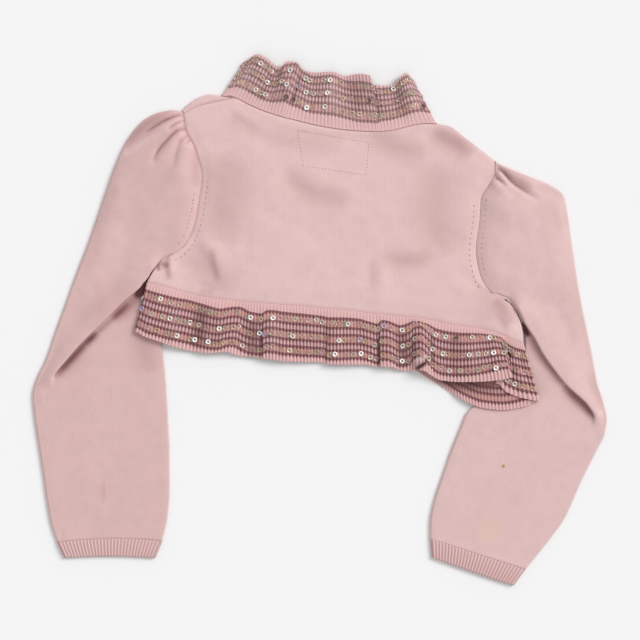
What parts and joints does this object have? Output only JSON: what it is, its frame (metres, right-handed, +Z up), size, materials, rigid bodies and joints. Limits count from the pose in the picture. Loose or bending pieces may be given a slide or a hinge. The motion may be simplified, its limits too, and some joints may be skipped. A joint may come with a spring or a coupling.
{
  "type": "sequin-trimmed cropped cardigan",
  "caption": "Child's cropped knit cardigan laid flat on its front, with gathered sleeve heads, tucked sleeves, ribbed cuffs and striped ribbed ruffles round neck and hem.",
  "frame": {"origin": "middle of the garment's outline, on the surface that it lies on", "axes": "+Z up, away from the surface and out of the garment's back; +Y towards the neck; +X towards the wearer's right sleeve"},
  "size_m": [0.459, 0.4248, 0.011],
  "materials": {
    "jersey": "matt fine cotton jersey knit",
    "cuff_rib": "matt fine rib knit",
    "striped_trim": "ribbed knit with mauve stripes and sequins"
  },
  "bodies": {
    "root": {"back": "jersey", "left_front": "jersey", "right_front": "jersey", "left_sleeve": "jersey", "right_sleeve": "jersey", "left_cuff": "cuff_rib", "right_cuff": "cuff_rib", "neck_trim": "striped_trim", "hem_trim": "striped_trim"}
  },
  "joints": []
}
